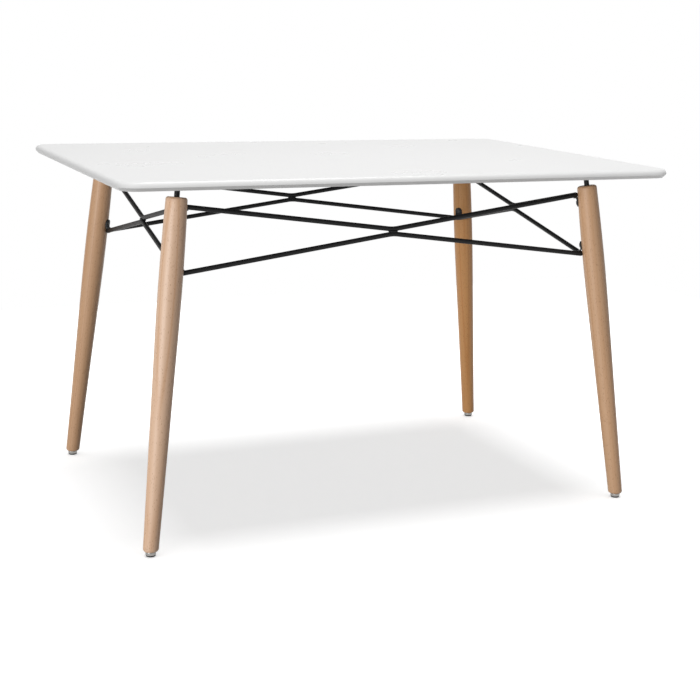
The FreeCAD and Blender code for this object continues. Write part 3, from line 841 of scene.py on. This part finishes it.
points = []
for corner in CORNERS:
    end, side = corner.split("_")
    weld = [vertex.co for vertex in nodes[f"corner_welds_{corner}"].data.vertices]
    for kind in ("rod_v", "rod_inverted_v"):
        first = rod_paths[f"{kind}_{end}"][0 if side == "left" else 2]
        last = rod_paths[f"{kind}_{side}"][0 if end == "front" else 2]
        bead = ring_centre([spot for spot in weld if abs(spot.z - first.z) < WELD_HEIGHT])
        points += [first, (first + last) / 4 + bead / 2, last]
edges = [(first, first + 1) for first in range(len(points)) if first % 3 < 2]
corner_welds = grow("corner_welds", weld_tree, points, edges, {
    "Bead Radius": 0.0054,
    "Ripple Pitch": 0.0021,
    "Ripple Depth": 0.4,
    "Seed": 11.0,
})
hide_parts(*[f"corner_welds_{corner}" for corner in CORNERS])

# %% [markdown]
# ## The plate screws
# Four countersunk wood screws with a cross recess hold each steel plate to the board. One screw is
# built in mesh code: a ring for the rim of the head, a cross shaped pocket let into its face, and
# rings for the cone, the shank and the point. It is small and hidden under the board, so it stays
# at a few dozen faces.

# %% One screw
HEAD_RADIUS = 0.004
SHANK_RADIUS = 0.002
CONE_HEIGHT = 0.0022
SHANK_END = 0.012
SCREW_LENGTH = 0.015
ARM_HALF = 0.0005
ARM_REACH = 0.0023
RECESS_DEPTH = 0.0013
RECESS_TAPER = 0.7
ROUND_STEPS = 24


def ring_of(form, radius, height):
    """A ring of new vertices."""
    turns = [2 * math.pi * step / ROUND_STEPS for step in range(ROUND_STEPS)]
    return [form.verts.new((radius * math.cos(t), radius * math.sin(t), height)) for t in turns]


def join_rings(form, lower, upper):
    """Close the band between two rings of equal count with four sided faces."""
    for step in range(len(lower)):
        after = (step + 1) % len(lower)
        form.faces.new((lower[step], lower[after], upper[after], upper[step]))


def loop_edges(form, ring):
    """The edges that close a ring of vertices."""
    after = ring[1:] + ring[:1]
    return [form.edges.new(pair) for pair in zip(ring, after)]


form = bmesh.new()
arm = [(ARM_REACH, -ARM_HALF), (ARM_REACH, ARM_HALF), (ARM_HALF, ARM_HALF)]
quarter_turns = ((1, 0), (0, 1), (-1, 0), (0, -1))
cross = [(x * c - y * s, x * s + y * c) for c, s in quarter_turns for x, y in arm]
mouth = [form.verts.new((x, y, 0)) for x, y in cross]
bottom = [
    form.verts.new((RECESS_TAPER * x, RECESS_TAPER * y, RECESS_DEPTH)) for x, y in cross
]
rim = ring_of(form, HEAD_RADIUS, 0)
borders = loop_edges(form, rim) + loop_edges(form, mouth)
bmesh.ops.triangle_fill(form, use_beauty=True, edges=borders, normal=(0, 0, -1))
join_rings(form, mouth, bottom)
form.faces.new(bottom)
neck = ring_of(form, SHANK_RADIUS, CONE_HEIGHT)
shank = ring_of(form, SHANK_RADIUS, SHANK_END)
join_rings(form, rim, neck)
join_rings(form, neck, shank)
tip = form.verts.new((0, 0, SCREW_LENGTH))
for step in range(ROUND_STEPS):
    form.faces.new((shank[step], shank[(step + 1) % ROUND_STEPS], tip))
bmesh.ops.recalc_face_normals(form, faces=form.faces)
print("screw:", len(form.faces), "faces,", round(form.calc_volume(signed=True) * 1e9, 1), "mm3")
screw_mesh = bpy.data.meshes.new("cross_recess_screw")
form.to_mesh(screw_mesh)
form.free()
screw = bpy.data.objects.new("cross_recess_screw", screw_mesh)
bpy.context.scene.collection.objects.link(screw)

# %% [markdown]
# The tree puts the screw on sixteen points and gives each its own turn, because no two screws stop
# at the same angle. The points are the tips of the solid screws, brought down to the plate's face.

# %% Sixteen screws
tree, sizes = start_tree("screws_in_place", {
    "Screw": "NodeSocketObject",
    "Seed": "NodeSocketInt",
})
pattern = add_node(tree, "GeometryNodeObjectInfo", {"transform_space": "ORIGINAL"}, {
    "Object": sizes["Screw"],
})
turn = add_node(tree, "FunctionNodeRandomValue", {"data_type": "FLOAT_VECTOR"}, {
    0: (0.0, 0.0, 0.0),
    1: (0.0, 0.0, math.tau),
    "Seed": sizes["Seed"],
})
placed = add_node(tree, "GeometryNodeInstanceOnPoints", {}, {
    "Points": sizes["Geometry"],
    "Instance": pattern.outputs["Geometry"],
    "Rotation": turn.outputs["Value"],
})
end_tree(tree, placed.outputs[0], small["bright_zinc_plated_steel"])

points = []
for corner in CORNERS:
    spots = [vertex.co for vertex in nodes[f"plate_screws_{corner}"].data.vertices]
    highest = max(spot.z for spot in spots)
    lowest = min(spot.z for spot in spots)
    tips = {(round(spot.x, 5), round(spot.y, 5)) for spot in spots if spot.z > highest - CLOSE}
    points += [(x, y, lowest) for x, y in sorted(tips)]
screws = grow("cross_recess_screws", tree, points, [], {"Screw": screw, "Seed": 7})
bpy.data.objects.remove(screw)
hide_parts(*[f"plate_screws_{corner}" for corner in CORNERS])

# %% [markdown]
# ## Lamps
# Large soft lamps light the table, as in a studio for furniture. One hangs over it. One stands in
# front of the board's long edge and makes that as bright as its face. It is kept out of mirror
# reflections, because from behind it would burn out one end of the board. One stands far beyond
# the left end, so that each round leg is bright on its left and falls away to brown on its right.
# The last lights the floor sheet only and makes it white up to the soft shadow of the table. A
# lamp's power is worked out from the level it should give at its aim, where level 1 shows a colour
# as it is written. Black flags would keep a lamp off the rest in a studio. Here light linking does.
# A row of the table has a lamp's place, its aim, its two sides and its level.


# %% Lamps
LAMPS = {
    "overhead_softbox": ((0.50, 0.0, 3.3), (0.1, 0.0, 0.74), (1.7, 1.3), 0.52),
    "edge_softbox": ((-2.4, -3.9, 3.0), (0.0, -0.4, 0.74), (3.4, 2.4), 0.66),
    "side_softbox": ((-6.1, -4.1, 1.2), (0.0, 0.0, 0.5), (4.6, 2.2), 0.76),
    "floor_softbox": ((-0.06, 0.0, 3.3), (-0.06, 0.0, 0.0), (2.4, 2.0), 1.1),
}


def add_lamp(name, place, aim, sides, level):
    """A rectangular lamp at a place, turned to an aim, that gives a level of light there."""
    data = bpy.data.lights.new(name, "AREA")
    data.shape = "RECTANGLE"
    data.size, data.size_y = sides
    reach = Vector(aim) - Vector(place)
    data.energy = level * math.pi ** 2 * reach.length_squared
    lamp = bpy.data.objects.new(name, data)
    lamp.location = place
    lamp.rotation_euler = reach.to_track_quat("-Z", "Y").to_euler()
    bpy.context.scene.collection.objects.link(lamp)
    print(name, round(data.energy, 1), "W")
    return lamp


def light_only(lamp, pieces):
    """Keep a lamp's light off everything but some pieces."""
    lit = bpy.data.collections.new(f"lit_by_{lamp.name}")
    for piece in pieces:
        lit.objects.link(piece)
    lamp.light_linking.receiver_collection = lit


board = nodes["tabletop"]
base = [node for node in nodes.values() if node is not board]
base += [rods, mid_welds, corner_welds, screws]
lamps = {name: add_lamp(name, *settings) for name, settings in LAMPS.items()}
light_only(lamps["edge_softbox"], [board])
lamps["edge_softbox"].visible_glossy = False
light_only(lamps["side_softbox"], base)
light_only(lamps["floor_softbox"], [floor])
print(len(base), "objects of the base are lit from the side")
